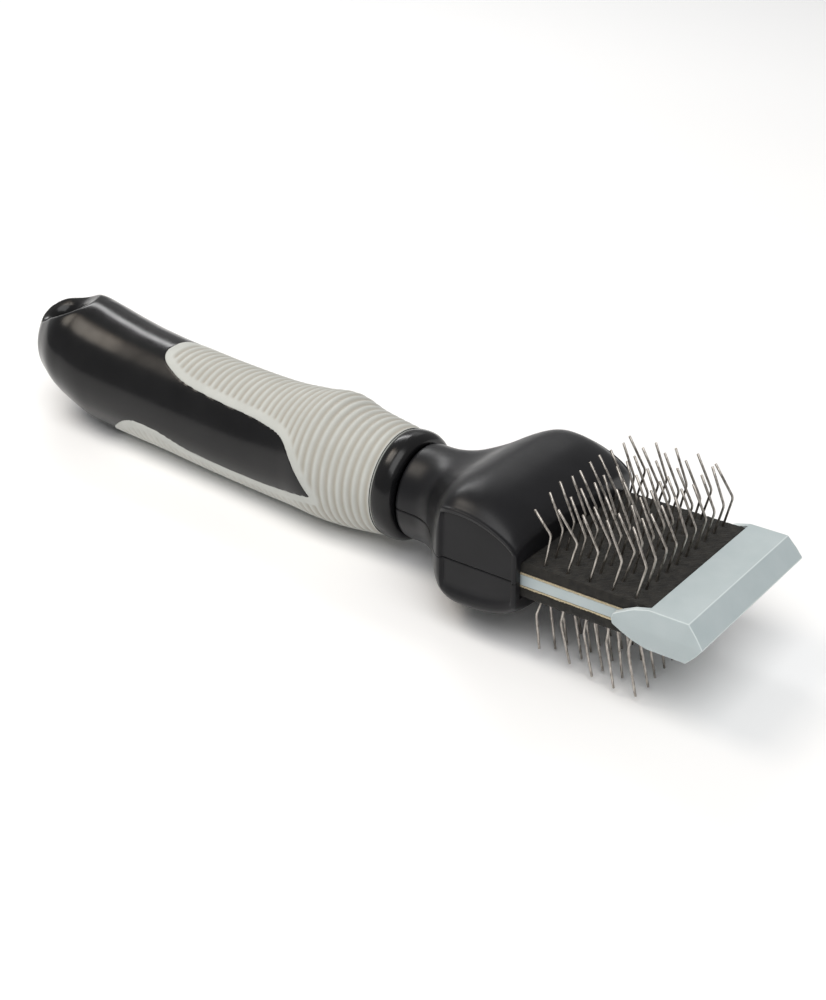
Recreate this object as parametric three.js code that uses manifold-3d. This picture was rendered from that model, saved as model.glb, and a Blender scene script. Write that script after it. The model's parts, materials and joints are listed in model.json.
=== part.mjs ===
// Double-sided flexible slicker brush: a handle with a soft grip, a clamshell head housing, and a thin
// flexible blade that carries a wire-pin pad on each face and a moulded clip on its tip.
//
// Units are millimetres. Everything is drawn in the head's own frame and then laid on a table:
//   x = 0 at the housing mouth, +x towards the tip of the blade, z = 0 on the blade's mid-plane.
import * as THREE from 'three';
import { mergeVertices } from 'three/addons/utils/BufferGeometryUtils.js';
import Module from 'manifold-3d';

const wasm = await Module();
wasm.setup();

// ---- driving dimensions ---------------------------------------------------------------------------------

// The brush lies on its lower pins and on the belly of the handle, so it is turned by this much about Y.
const REST_TILT = THREE.MathUtils.degToRad(-3.7);

const FIT_GAP = 0.1; // clearance between pieces that sit against each other
const SEAM_GAP = 0.12; // joint line between the two housing shells

// Handle: [x, value] along the handle. The section is round; the axis is bowed upwards to the rear.
const HANDLE_END = -183;
const HANDLE_END_ROUNDING = 9;
const HANDLE_RADIUS = [
  [-183, 10.6], [-180, 10.0], [-175, 12.0], [-168, 15.2], [-162, 16.0], [-156, 16.3], [-150, 16.1], [-142, 15.8],
  [-128, 15.5], [-112, 15.5], [-92, 15.7], [-80, 16.3], [-72, 17.0], [-64, 15.9], [-51, 14.2],
];
const HANDLE_AXIS = [
  [-183, 9.1], [-178, 10.3], [-168, 10.2], [-162, 8.5], [-156, 6.8], [-150, 5.8], [-142, 4.8], [-128, 3.6],
  [-112, 2.3], [-92, 1.3], [-80, 1.5], [-72, 1.7], [-64, 0.6], [-51, 0.3],
];
const HANDLE_SEGMENTS = 28;

// Grip: a soft overmould with a cuff at the front, a tongue along the top and a tongue along the belly.
const GRIP_THICKNESS = 1.7;
const GRIP_FRONT = -51;
const GRIP_OUTLINE = [
  [-131.9, 26], [-131, 19], [-128.4, 17.9], [-124.5, 16.2], [-117, 13.9], [-103, 12.4], [-87, 11.1],
  [-79.6, 9.6], [-74.4, 4.8], [-69, -2.9], [-86, -4.6], [-112, -3.2], [-126, 0.1], [-135, 0.4],
  [-142, -3], [-148, -8.6], [-149.5, -18],
];

// Collar at the front of the handle, and the socket that takes the head's tang.
const COLLAR_RADIUS = 14.4;
const COLLAR_AXIS_Z = 0.3;
const COLLAR_SHOULDER = -47.6;
const COLLAR_NOSE_RADIUS = 12.9;
const COLLAR_FACE = -44.9;
const SOCKET_RADIUS = 8.6;
const SOCKET_END = -73;
const CORING_RADIUS = 6.4;
const CORING_END = -150;

// Hang hole through the rear end of the handle.
const HANG_HOLE_RADIUS = 3.6;
const HANG_HOLE_X = -172.6;

// Head tang and its cross pin, hidden under the grip's cuff.
const TANG_RADIUS = SOCKET_RADIUS - 0.3;
const TANG_END = SOCKET_END + 0.5;
const CROSS_PIN_X = -62;
const CROSS_PIN_RADIUS = 1.5;
const CROSS_PIN_HALF_LENGTH = 13;

// Housing: [x, half-width], [x, half-height] and [x, height of the middle]. Its sides are cut flat at
// HOUSING_HALF_WIDTH.
const HOUSING_HALF_WIDTH = 25.8;
const HOUSING_WIDTH = [
  [-43.2, 12.0], [-42, 12.5], [-37, 12.9], [-33, 14.6], [-30, 17.2], [-27, 20.6], [-24.3, 23.7],
  [-22, 25.7], [-19.5, 26.9], [-16.5, 27.3], [0, 27.3],
];
const HOUSING_HEIGHT = [
  [-43.2, 12.0], [-42, 12.5], [-37, 12.5], [-32, 12.7], [-27, 13.4], [-23, 14.8], [-19, 15.8], [-16, 16.0],
  [-11.5, 15.6], [-8, 14.7], [-5, 13.4], [-2.5, 11.8], [0, 9.3],
];
const HOUSING_CAMBER = [[-43.2, 0], [-33, 0], [-18, 1.7], [0, 0.6]];
const NECK_SHOULDER_RADIUS = 11.3;
const NECK_SHOULDER_FACE = COLLAR_FACE + 0.3;
const HOUSING_WALL = 2.6;
const HOUSING_SEGMENTS = 40;
const MOUTH_HALF_WIDTH = 23.6;
const MOUTH_HALF_HEIGHT = 4.75;
const MOUTH_DEPTH = 5;
const CAVITY_REAR = -33;

// Clamp bosses and screws that close the housing on the blade's tang.
const CLAMP_X = -12;
const CLAMP_Y = 11;
const BOSS_RADIUS = 3.6;
const SCREW_RADIUS = 1.1;
const SCREW_HEAD_RADIUS = 2.5;
const SCREW_HEAD_HEIGHT = 1.6;
const SCREW_HEAD_DEPTH = 6; // from the housing's crown down to the top of the screw head
const SCREW_TIP_Z = 8;
const SCREW_SLOT = 0.7;

// Blade: the flexible plate, and on each face a foundation cloth and a cushion.
const PAD_HALF_WIDTH = 22.8;
const PAD_END = 32.7;
const PAD_START = 0.3;
const PLATE_HALF_THICKNESS = 1.4;
const PLATE_END = 38;
const PLATE_TANG_HALF_WIDTH = 17;
const PLATE_TANG_END = -19;
const CLOTH_THICKNESS = 0.5;
const CUSHION_THICKNESS = 2.4;
const LAYER_GAP = 0.05;
const CLOTH_Z = PLATE_HALF_THICKNESS + LAYER_GAP;
const CUSHION_Z = CLOTH_Z + CLOTH_THICKNESS + LAYER_GAP;
const PAD_Z = CUSHION_Z + CUSHION_THICKNESS;

// Clip on the blade's tip: half of its side profile, and the cheeks that run back along the pads.
const CLIP_HALF_WIDTH = 25;
const CLIP_CHEEK = 2;
const CLIP_BACK = 32.9;
const CLIP_PROFILE = [
  [24.5, 1.3], [26.6, 2.5], [29.4, 3.9], [32.9, 4.9], [42.3, 4.9], [44.6, 2.3], [46.1, 0.2],
];

// Pins: straight rows across the blade, every wire kneed; a lean is towards the blade's tip.
const PIN_ROWS = 5;
const PIN_COLUMNS = 10;
const PIN_ROW_PITCH = 5.8;
const PIN_COLUMN_PITCH = 4.55;
const PIN_FIRST_X = 4.4;
const PIN_HALF_WIDTH = 0.25;
const PIN_SHAPE_TOP = { knee: { lean: 2.0, rise: 7.9 }, tip: { lean: -2.3, rise: 16.4 } };
const PIN_SHAPE_BOTTOM = { knee: { lean: -1.2, rise: 5.2 }, tip: { lean: 1.9, rise: 16.3 } };
const CROWN_HALF_WIDTH = 0.45; // the strip that joins a row's staple crowns, let into the cloth
const CROWN_OVERRUN = 0.6; // how far the strip runs on past the last pin

// ---- materials ------------------------------------------------------------------------------------------

const blackAbs = new THREE.MeshStandardMaterial({ color: 0x17171a, roughness: 0.25, metalness: 0 });
const satinBlack = new THREE.MeshStandardMaterial({ color: 0x1b1b1e, roughness: 0.42, metalness: 0 });
const greyRubber = new THREE.MeshStandardMaterial({ color: 0xc6c5bd, roughness: 0.7, metalness: 0 });
const paleBlue = new THREE.MeshStandardMaterial({ color: 0xb4c4c8, roughness: 0.4, metalness: 0 });
const tanCloth = new THREE.MeshStandardMaterial({ color: 0xc2b594, roughness: 0.95, metalness: 0 });
const blackCushion = new THREE.MeshStandardMaterial({ color: 0x24221f, roughness: 0.9, metalness: 0 });
const steelWire = new THREE.MeshStandardMaterial({ color: 0xa9a49b, roughness: 0.3, metalness: 1 });

// ---- solids ---------------------------------------------------------------------------------------------

/** A manifold solid from a closed three.js geometry. */
function solidOf(geometry) {
  geometry.deleteAttribute('normal');
  geometry.deleteAttribute('uv');
  const merged = mergeVertices(geometry, 1e-4);
  const mesh = new wasm.Mesh({
    numProp: 3,
    vertProperties: new Float32Array(merged.attributes.position.array),
    triVerts: new Uint32Array(merged.index.array),
  });
  return new wasm.Manifold(mesh);
}

/** A three.js geometry from a manifold solid. */
function geometryOf(solid) {
  const mesh = solid.getMesh();
  const geometry = new THREE.BufferGeometry();
  geometry.setAttribute('position', new THREE.BufferAttribute(new Float32Array(mesh.vertProperties), 3));
  geometry.setIndex(new THREE.BufferAttribute(new Uint32Array(mesh.triVerts), 1));
  geometry.computeVertexNormals();
  return geometry;
}

/** The value at x of a smooth curve through a table of [x, value] points. */
function curveAt(points, x) {
  const last = points.length - 1;
  let i = 0;
  while (i < last - 1 && x > points[i + 1][0]) {
    i += 1;
  }
  const slope = (k) => {
    const before = points[Math.max(k - 1, 0)];
    const after = points[Math.min(k + 1, last)];
    return (after[1] - before[1]) / (after[0] - before[0]);
  };
  const span = points[i + 1][0] - points[i][0];
  const t = THREE.MathUtils.clamp((x - points[i][0]) / span, 0, 1);
  const rise = t * t * (3 - 2 * t);
  const bend = t * (1 - t) * span;
  return points[i][1] * (1 - rise) + points[i + 1][1] * rise
    + bend * (slope(i) * (1 - t) - slope(i + 1) * t);
}

/** A closed solid skinned over rings of points that follow each other towards +x. */
function loft(rings) {
  const count = rings[0].length;
  const positions = rings.flat().flatMap((point) => point.toArray());
  const indices = [];
  const lastRing = (rings.length - 1) * count;
  for (let ring = 0; ring < rings.length - 1; ring += 1) {
    for (let i = 0; i < count; i += 1) {
      const a = ring * count + i;
      const b = ring * count + ((i + 1) % count);
      indices.push(a, b, a + count, b, b + count, a + count);
    }
  }
  for (let i = 1; i < count - 1; i += 1) {
    indices.push(0, i + 1, i);
    indices.push(lastRing, lastRing + i, lastRing + i + 1);
  }
  const geometry = new THREE.BufferGeometry();
  geometry.setAttribute('position', new THREE.Float32BufferAttribute(positions, 3));
  geometry.setIndex(indices);
  return solidOf(geometry);
}

/** A ring in the plane x, on a super-ellipse; squareness 2 is an ellipse and more is squarer. */
function ringAt(x, centreZ, halfWidth, halfHeight, segments, squareness = 2) {
  const round = (value) => Math.sign(value) * Math.abs(value) ** (2 / squareness);
  return Array.from({ length: segments }, (_, i) => {
    const angle = (2 * Math.PI * (i + 0.5)) / segments;
    return new THREE.Vector3(
      x, halfWidth * round(Math.cos(angle)), centreZ + halfHeight * round(Math.sin(angle)),
    );
  });
}

/** A closed outline through straight points. */
function outline(points) {
  return new THREE.Shape(points.map(([u, v]) => new THREE.Vector2(u, v)));
}

/** A side-view outline (x, z) pushed out to halfWidth on both sides. */
function sidePrism(shape, halfWidth) {
  const settings = { depth: 2 * halfWidth, bevelEnabled: false, curveSegments: 8 };
  const geometry = new THREE.ExtrudeGeometry(shape, settings);
  geometry.rotateX(Math.PI / 2);
  geometry.translate(0, halfWidth, 0);
  return solidOf(geometry);
}

/** A plan outline (x, y) raised from low to high. */
function planPrism(shape, low, high) {
  const settings = { depth: high - low, bevelEnabled: false, curveSegments: 4 };
  const geometry = new THREE.ExtrudeGeometry(shape, settings);
  geometry.translate(0, 0, low);
  return solidOf(geometry);
}

function block(minimum, maximum) {
  const size = maximum.map((value, axis) => value - minimum[axis]);
  const geometry = new THREE.BoxGeometry(...size);
  geometry.translate(...minimum.map((value, axis) => value + size[axis] / 2));
  return solidOf(geometry);
}

/** A round bar along z (axis 'z'), along y ('y') or along x ('x'), between two ends. */
function bar(axis, radius, low, high, at, segments = 20) {
  const geometry = new THREE.CylinderGeometry(radius, radius, high - low, segments);
  geometry.translate(0, (low + high) / 2, 0);
  if (axis === 'x') {
    geometry.rotateZ(-Math.PI / 2);
  }
  if (axis === 'z') {
    geometry.rotateX(Math.PI / 2);
  }
  geometry.translate(...at);
  return solidOf(geometry);
}

// ---- handle ---------------------------------------------------------------------------------------------

/** The handle's outer shape, drawn in by inset. */
function handleBody(inset) {
  const stations = [
    -182.9, -182.3, -180.5, -178, -174, -169, -165, -161, -156, -148, -137, -124, -111, -98, -88, -80, -74,
    -68, -60, GRIP_FRONT,
  ];
  const rings = stations.map((x) => {
    const intoEnd = Math.max(0, (HANDLE_END + HANDLE_END_ROUNDING - x) / HANDLE_END_ROUNDING);
    const endRounding = Math.sqrt(1 - Math.min(1, intoEnd) ** 2);
    const radius = Math.max(0.3, curveAt(HANDLE_RADIUS, x) * endRounding - inset);
    return ringAt(x, curveAt(HANDLE_AXIS, x), radius, radius, HANDLE_SEGMENTS);
  });
  return loft(rings);
}

function collar() {
  const stations = [
    [GRIP_FRONT - 0.01, COLLAR_RADIUS], [COLLAR_SHOULDER, COLLAR_RADIUS],
    [(COLLAR_SHOULDER + COLLAR_FACE) / 2, COLLAR_RADIUS - 0.35], [COLLAR_FACE, COLLAR_NOSE_RADIUS],
  ];
  return loft(stations.map(([x, radius]) => ringAt(x, COLLAR_AXIS_Z, radius, radius, HANDLE_SEGMENTS)));
}

/** The side view of the grip, kept clear of its edge by inset. */
function gripRegion(inset) {
  const edge = GRIP_OUTLINE.map(([x, z]) => new THREE.Vector2(x, z));
  const moved = edge.map((point, i) => {
    const before = edge[Math.max(i - 1, 0)];
    const after = edge[Math.min(i + 1, edge.length - 1)];
    const along = after.clone().sub(before).normalize();
    return point.clone().add(new THREE.Vector2(-along.y, along.x).multiplyScalar(inset));
  });
  const shape = new THREE.Shape();
  shape.moveTo(moved[0].x, moved[0].y);
  shape.splineThru(moved.slice(1, 10));
  shape.splineThru(moved.slice(10));
  shape.lineTo(GRIP_FRONT - inset, moved[moved.length - 1].y);
  shape.lineTo(GRIP_FRONT - inset, moved[0].y);
  return sidePrism(shape, 30);
}

function hangHole() {
  const hole = new THREE.CylinderGeometry(HANG_HOLE_RADIUS, HANG_HOLE_RADIUS, 60, 16);
  hole.rotateX(Math.PI / 2);
  hole.rotateY(-REST_TILT);
  hole.translate(HANG_HOLE_X, 0, curveAt(HANDLE_AXIS, HANG_HOLE_X));
  return solidOf(hole);
}

function handleCore() {
  const recess = gripRegion(0).subtract(handleBody(GRIP_THICKNESS));
  return handleBody(0)
    .subtract(recess)
    .add(collar())
    .subtract(bar('x', SOCKET_RADIUS, SOCKET_END, 0, [0, 0, 0]))
    .subtract(bar('x', CORING_RADIUS, CORING_END, SOCKET_END + 1, [0, 0, 3.2]))
    .subtract(bar('y', CROSS_PIN_RADIUS + FIT_GAP, -20, 20, [CROSS_PIN_X, 0, 0]))
    .subtract(hangHole());
}

function gripSleeve() {
  return handleBody(0)
    .intersect(gripRegion(FIT_GAP))
    .subtract(handleBody(GRIP_THICKNESS - FIT_GAP));
}

function crossPin() {
  return bar('y', CROSS_PIN_RADIUS, -CROSS_PIN_HALF_LENGTH, CROSS_PIN_HALF_LENGTH, [CROSS_PIN_X, 0, 0]);
}

// ---- housing --------------------------------------------------------------------------------------------

/** Round at the neck, squared off over the blade. */
function housingSquareness(x) {
  return 2 + 3 * THREE.MathUtils.smoothstep(x, -39, -20);
}

function housingRing(x, inset) {
  return ringAt(
    x, curveAt(HOUSING_CAMBER, x), curveAt(HOUSING_WIDTH, x) - inset, curveAt(HOUSING_HEIGHT, x) - inset,
    HOUSING_SEGMENTS, housingSquareness(x),
  );
}

function housingOuter() {
  const stations = [-43.2, -42, -37, -33.5, -31, -28.5, -26, -23.5, -21.5, -19, -16, -12, -8.5, -5.5, -2.5, 0];
  const flatSides = block([-60, -HOUSING_HALF_WIDTH, -30], [10, HOUSING_HALF_WIDTH, 30]);
  return loft(stations.map((x) => housingRing(x, 0)))
    .intersect(flatSides)
    .add(bar('x', NECK_SHOULDER_RADIUS, NECK_SHOULDER_FACE, -42, [0, 0, 0], HANDLE_SEGMENTS))
    .add(bar('x', TANG_RADIUS, TANG_END, -42, [0, 0, 0]));
}

/** The hollow between the shells, less the clamp bosses that stand in it. */
function housingCavity() {
  const stations = [CAVITY_REAR, -27, -21, -14, -8, -MOUTH_DEPTH + 0.5];
  const sideWalls = block([-60, -MOUTH_HALF_WIDTH + 0.4, -30], [10, MOUTH_HALF_WIDTH - 0.4, 30]);
  let cavity = loft(stations.map((x) => housingRing(x, HOUSING_WALL + 1.2))).intersect(sideWalls);
  for (const side of [-1, 1]) {
    const at = [CLAMP_X, side * CLAMP_Y, 0];
    const seat = PLATE_HALF_THICKNESS + FIT_GAP;
    cavity = cavity
      .subtract(bar('z', BOSS_RADIUS, seat, 20, at))
      .subtract(bar('z', BOSS_RADIUS, -20, -seat, at));
  }
  return cavity;
}

/** Everything that is cut out of both shells. */
function housingCuts() {
  const mouth = block(
    [-MOUTH_DEPTH, -MOUTH_HALF_WIDTH, -MOUTH_HALF_HEIGHT], [1, MOUTH_HALF_WIDTH, MOUTH_HALF_HEIGHT],
  );
  const seam = block([-80, -30, -SEAM_GAP / 2], [1, 30, SEAM_GAP / 2]);
  let cuts = housingCavity()
    .add(mouth)
    .add(seam)
    .add(bar('y', CROSS_PIN_RADIUS + FIT_GAP, -20, 20, [CROSS_PIN_X, 0, 0]));
  const headSeat = screwHeadSeat();
  for (const side of [-1, 1]) {
    const at = [CLAMP_X, side * CLAMP_Y, 0];
    cuts = cuts
      .add(bar('z', SCREW_RADIUS + FIT_GAP, headSeat - 1, SCREW_TIP_Z + 0.6, at, 12))
      .add(bar('z', SCREW_HEAD_RADIUS + 0.3, -20, headSeat, at));
  }
  return cuts;
}

/** Height of the seat under a clamp screw's head, below the blade's mid-plane. */
function screwHeadSeat() {
  return -(curveAt(HOUSING_HEIGHT, CLAMP_X) - SCREW_HEAD_DEPTH);
}

function housingShell(side) {
  const half = side > 0 ? block([-80, -30, 0], [1, 30, 30]) : block([-80, -30, -30], [1, 30, 0]);
  return housingOuter().intersect(half).subtract(housingCuts());
}

function clampScrew(side) {
  const seat = screwHeadSeat() - FIT_GAP;
  const headFace = seat - SCREW_HEAD_HEIGHT;
  const at = [CLAMP_X, side * CLAMP_Y, 0];
  const slotDepth = headFace + 0.9;
  const reach = 1.5;
  const slotX = block(
    [at[0] - reach, at[1] - SCREW_SLOT / 2, headFace - 1], [at[0] + reach, at[1] + SCREW_SLOT / 2, slotDepth],
  );
  const slotY = block(
    [at[0] - SCREW_SLOT / 2, at[1] - reach, headFace - 1], [at[0] + SCREW_SLOT / 2, at[1] + reach, slotDepth],
  );
  return bar('z', SCREW_HEAD_RADIUS, headFace, seat, at)
    .add(bar('z', SCREW_RADIUS, seat - 0.5, SCREW_TIP_Z, at, 12))
    .subtract(slotX)
    .subtract(slotY);
}

// ---- blade ----------------------------------------------------------------------------------------------

function flexPlate() {
  const shoulder = -2;
  let plate = planPrism(outline([
    [PLATE_TANG_END, -PLATE_TANG_HALF_WIDTH + 2], [PLATE_TANG_END + 2, -PLATE_TANG_HALF_WIDTH],
    [shoulder, -PLATE_TANG_HALF_WIDTH], [shoulder, -PAD_HALF_WIDTH], [PLATE_END, -PAD_HALF_WIDTH],
    [PLATE_END, PAD_HALF_WIDTH], [shoulder, PAD_HALF_WIDTH], [shoulder, PLATE_TANG_HALF_WIDTH],
    [PLATE_TANG_END + 2, PLATE_TANG_HALF_WIDTH], [PLATE_TANG_END, PLATE_TANG_HALF_WIDTH - 2],
  ]), -PLATE_HALF_THICKNESS, PLATE_HALF_THICKNESS);
  for (const side of [-1, 1]) {
    plate = plate.subtract(bar('z', SCREW_RADIUS + 0.4, -5, 5, [CLAMP_X, side * CLAMP_Y, 0], 16));
  }
  return plate;
}

/** Where a pin stands: row 0 is next to the mouth, column 0 is on the -y side. */
function pinBase(row, column) {
  const x = PIN_FIRST_X + row * PIN_ROW_PITCH;
  const y = (column - (PIN_COLUMNS - 1) / 2) * PIN_COLUMN_PITCH;
  return [x, y];
}

/** The strip under a row of pins, grown by margin on every side. */
function crownStrip(row, margin, low, high) {
  const [x, firstY] = pinBase(row, 0);
  const lastY = pinBase(row, PIN_COLUMNS - 1)[1];
  const half = CROWN_HALF_WIDTH + margin;
  const overrun = CROWN_OVERRUN + margin;
  return block([x - half, firstY - overrun, low], [x + half, lastY + overrun, high]);
}

/** Reflects a solid drawn on the upper face to the lower one. */
function onSide(solid, side) {
  return side > 0 ? solid : solid.mirror([0, 0, 1]);
}

/** A foundation cloth with a slit for each row of staple crowns. */
function cloth(side) {
  const edge = PAD_HALF_WIDTH;
  let sheet = block([PAD_START, -edge, CLOTH_Z], [PAD_END, edge, CLOTH_Z + CLOTH_THICKNESS]);
  for (let row = 0; row < PIN_ROWS; row += 1) {
    sheet = sheet.subtract(crownStrip(row, FIT_GAP, 0, CUSHION_Z));
  }
  return onSide(sheet, side);
}

/** A cushion with a hole for each pin. */
function cushion(side) {
  const edge = PAD_HALF_WIDTH;
  let pad = block([PAD_START, -edge, CUSHION_Z], [PAD_END, edge, PAD_Z]);
  const hole = PIN_HALF_WIDTH + FIT_GAP;
  for (let row = 0; row < PIN_ROWS; row += 1) {
    for (let column = 0; column < PIN_COLUMNS; column += 1) {
      const [x, y] = pinBase(row, column);
      pad = pad.subtract(block([x - hole, y - hole, 0], [x + hole, y + hole, PAD_Z + 1]));
    }
  }
  return onSide(pad, side);
}

/** One kneed wire, standing on its row's crown strip. */
function pin(x, y, { knee, tip }) {
  const levels = [
    [0, CLOTH_Z + LAYER_GAP], [0, PAD_Z], [knee.lean, PAD_Z + knee.rise], [tip.lean, PAD_Z + tip.rise],
  ];
  const corners = [[-1, -1], [1, -1], [1, 1], [-1, 1]];
  const points = levels.map(([lean, z]) => corners.map(([u, v]) => (
    new THREE.Vector3(z, x + lean + u * PIN_HALF_WIDTH, y + v * PIN_HALF_WIDTH)
  )));
  // The wire is skinned upwards along x, and its axes are then swapped round to stand along z.
  return loft(points).transform([
    0, 0, 1, 0,
    1, 0, 0, 0,
    0, 1, 0, 0,
    0, 0, 0, 1,
  ]);
}

function pinRow(side, row) {
  const top = CLOTH_Z + CLOTH_THICKNESS - LAYER_GAP;
  const shape = side > 0 ? PIN_SHAPE_TOP : PIN_SHAPE_BOTTOM;
  let wires = crownStrip(row, 0, CLOTH_Z, top);
  for (let column = 0; column < PIN_COLUMNS; column += 1) {
    const [x, y] = pinBase(row, column);
    wires = wires.add(pin(x, y, shape));
  }
  return onSide(wires, side);
}

function endClip() {
  const lower = CLIP_PROFILE.map(([x, z]) => [x, -z]).reverse();
  const slotHalf = PLATE_HALF_THICKNESS + FIT_GAP;
  const inner = CLIP_HALF_WIDTH - CLIP_CHEEK;
  return sidePrism(outline([...CLIP_PROFILE, ...lower]), CLIP_HALF_WIDTH)
    .subtract(block([0, -inner, -20], [CLIP_BACK, inner, 20]))
    .subtract(block([0, -inner, -slotHalf], [PLATE_END + 0.3, inner, slotHalf]));
}

// ---- assembly -------------------------------------------------------------------------------------------

const brush = new THREE.Group();

function addPart(name, solid, material) {
  const mesh = new THREE.Mesh(geometryOf(solid), material);
  mesh.name = name;
  brush.add(mesh);
}

addPart('handle_core', handleCore(), blackAbs);
addPart('grip_sleeve', gripSleeve(), greyRubber);
addPart('neck_cross_pin', crossPin(), steelWire);
addPart('housing_top', housingShell(1), satinBlack);
addPart('housing_bottom', housingShell(-1), satinBlack);
addPart('clamp_screw_near', clampScrew(-1), steelWire);
addPart('clamp_screw_far', clampScrew(1), steelWire);
addPart('flex_plate', flexPlate(), paleBlue);
addPart('end_clip', endClip(), paleBlue);
for (const [name, side] of [['top', 1], ['bottom', -1]]) {
  addPart(`cloth_${name}`, cloth(side), tanCloth);
  addPart(`cushion_${name}`, cushion(side), blackCushion);
  for (let row = 0; row < PIN_ROWS; row += 1) {
    addPart(`pin_row_${name}_${row + 1}`, pinRow(side, row), steelWire);
  }
}

// Lay the brush down: the origin is under the middle of its box, on the surface that it rests on.
brush.rotation.y = REST_TILT;
brush.updateMatrixWorld(true);
const bounds = new THREE.Box3().setFromObject(brush, true);
brush.position.set(-(bounds.min.x + bounds.max.x) / 2, 0, -bounds.min.z);
brush.updateMatrixWorld(true);

export default brush;
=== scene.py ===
"""The looks of a double-sided flexible slicker brush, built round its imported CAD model.

Everything is drawn in the head's own frame, in millimetres, and placed by the matrix HEAD: x = 0 at the
housing's mouth with +x towards the tip, z = 0 on the blade's mid-plane, and -y on the side that the camera
sees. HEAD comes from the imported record: the blade's joint gives the mouth and the clip's face its tilt.
"""

import json
import math

import bmesh
import bpy
import numpy as np
from mathutils import Matrix, Vector


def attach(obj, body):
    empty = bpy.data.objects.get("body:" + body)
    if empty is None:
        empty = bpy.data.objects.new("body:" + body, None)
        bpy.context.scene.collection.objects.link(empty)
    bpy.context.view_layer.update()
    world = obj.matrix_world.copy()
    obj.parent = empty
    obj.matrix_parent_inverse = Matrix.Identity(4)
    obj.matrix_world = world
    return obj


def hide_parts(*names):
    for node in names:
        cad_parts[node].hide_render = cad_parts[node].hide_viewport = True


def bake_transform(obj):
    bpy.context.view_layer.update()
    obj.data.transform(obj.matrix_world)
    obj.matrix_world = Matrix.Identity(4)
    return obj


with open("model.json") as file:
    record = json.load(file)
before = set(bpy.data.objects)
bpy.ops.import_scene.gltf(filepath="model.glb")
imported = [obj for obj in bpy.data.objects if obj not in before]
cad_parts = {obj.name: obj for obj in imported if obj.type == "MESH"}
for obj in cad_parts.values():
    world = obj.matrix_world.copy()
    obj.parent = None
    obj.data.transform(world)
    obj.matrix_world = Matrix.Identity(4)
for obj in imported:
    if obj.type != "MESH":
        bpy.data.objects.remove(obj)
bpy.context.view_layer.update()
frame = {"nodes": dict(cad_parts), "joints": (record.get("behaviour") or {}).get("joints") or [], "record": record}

MM = 0.001
RNG = np.random.default_rng(20)

# ---- the frame ------------------------------------------------------------------------------------------

JOINT = frame["joints"][0]
MOUNTS = {mount["name"]: mount for mount in frame["record"]["mounts"]}
HEAD_UP = Vector(MOUNTS["clip_top_face"]["axis"])
TILT = math.atan2(HEAD_UP.x, HEAD_UP.z)
HEAD = Matrix.Translation(Vector(JOINT["pos_m"])) @ Matrix.Rotation(TILT, 4, "Y")

# ---- dimensions, in mm ----------------------------------------------------------------------------------

HANDLE_END = -183.0
HANDLE_END_ROUNDING = 9.0
HANDLE_RADIUS = [
    (-183, 10.6), (-180, 10.0), (-175, 12.0), (-168, 15.2), (-162, 16.0), (-156, 16.3), (-150, 16.1),
    (-142, 15.8), (-128, 15.5), (-112, 15.5), (-92, 15.7), (-80, 16.3), (-72, 17.0), (-64, 15.9), (-51, 14.2),
]
HANDLE_AXIS = [
    (-183, 9.1), (-178, 10.3), (-168, 10.2), (-162, 8.5), (-156, 6.8), (-150, 5.8), (-142, 4.8), (-128, 3.6),
    (-112, 2.3), (-92, 1.3), (-80, 1.5), (-72, 1.7), (-64, 0.6), (-51, 0.3),
]
HANDLE_STEP, HANDLE_AROUND = 0.45, 220  # the mesh's spacing along the handle and its points round it
HANDLE_RESTART = -155.0  # where that spacing starts afresh
COLLAR = [
    (-51.0, 13.5), (-50.7, 13.95), (-50.3, 14.25), (-49.6, 14.4), (-48.6, 14.45), (-47.6, 14.4),
    (-46.8, 14.25), (-46.1, 13.95), (-45.5, 13.5), (-45.1, 12.95), (-44.92, 12.5), (-44.9, 11.8),
    (-46.5, 11.6),
]
COLLAR_AXIS = 0.3

GRIP_REAR, GRIP_FRONT = -150.6, -51.0
GRIP_STEP, GRIP_AROUND = 0.3, 240
GRIP_WALL = 1.3
GRIP_PROUD = 0.14  # how far the grip stands above the bare handle
# Inside a tongue's edge the handle goes down under the grip; outside it the grip goes down into the handle.
GRIP_DEPTH = 1.2
CORE_SINKS, GRIP_SINKS, GRIP_RISES = (0.3, 0.9), (0.22, -0.5), (-0.1, 0.6)
GRIP_TUCK = 0.7  # how far past its edge the grip is kept
GRIP_TOP_EDGE = [
    (-130.8, 30), (-130.7, 22.5), (-130.3, 19.6), (-128.6, 17.9), (-124.5, 16.2), (-117, 14.1), (-103, 12.4),
    (-87, 11.1), (-79.6, 9.6), (-74.4, 4.8), (-69, -2.9),
]
GRIP_BOTTOM_EDGE = [
    (-69, -2.9), (-86, -4.6), (-112, -3.2), (-126, 0.1), (-135, 0.4), (-142, -3), (-148, -8.6), (-149.5, -18),
]
RIB_PITCH = 2.3
RIB_DEPTH = 0.42
RIB_MARGIN = (2.1, 3.3)  # where the ribs begin and have their depth, inside a tongue's edge
RIB_SHARPNESS = 1.2
UNDERSIDE_RIBS = 0.4  # the share of that depth on the tongue underneath
UNDERSIDE_FRONT = (-78, -71)

HANG_HOLE_X = -172.6
HANG_HOLE_RADIUS = 3.6
HANG_HOLE_SLANT = -2.2  # how far sideways the hole's mouth lies from its lower end
SCOOP_PLANE = (21.2, 0.35, 0.126)  # its height at the mouth, and its slopes along x and y
SCOOP_REAR = (3.0, 0.2)  # how far back that slope runs, and how much more the rear falls to the near side
REAR_LIP = (-179.0, 3.4, 2.6)  # where the end stands up behind the hole, over what length and how far
SCOOP_FUNNEL = (2.2, 4.8, 7.0, 5.2)  # its depth, and its reach to the rear, to the front and sideways
SCOOP_ROUNDING = 0.35

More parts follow.
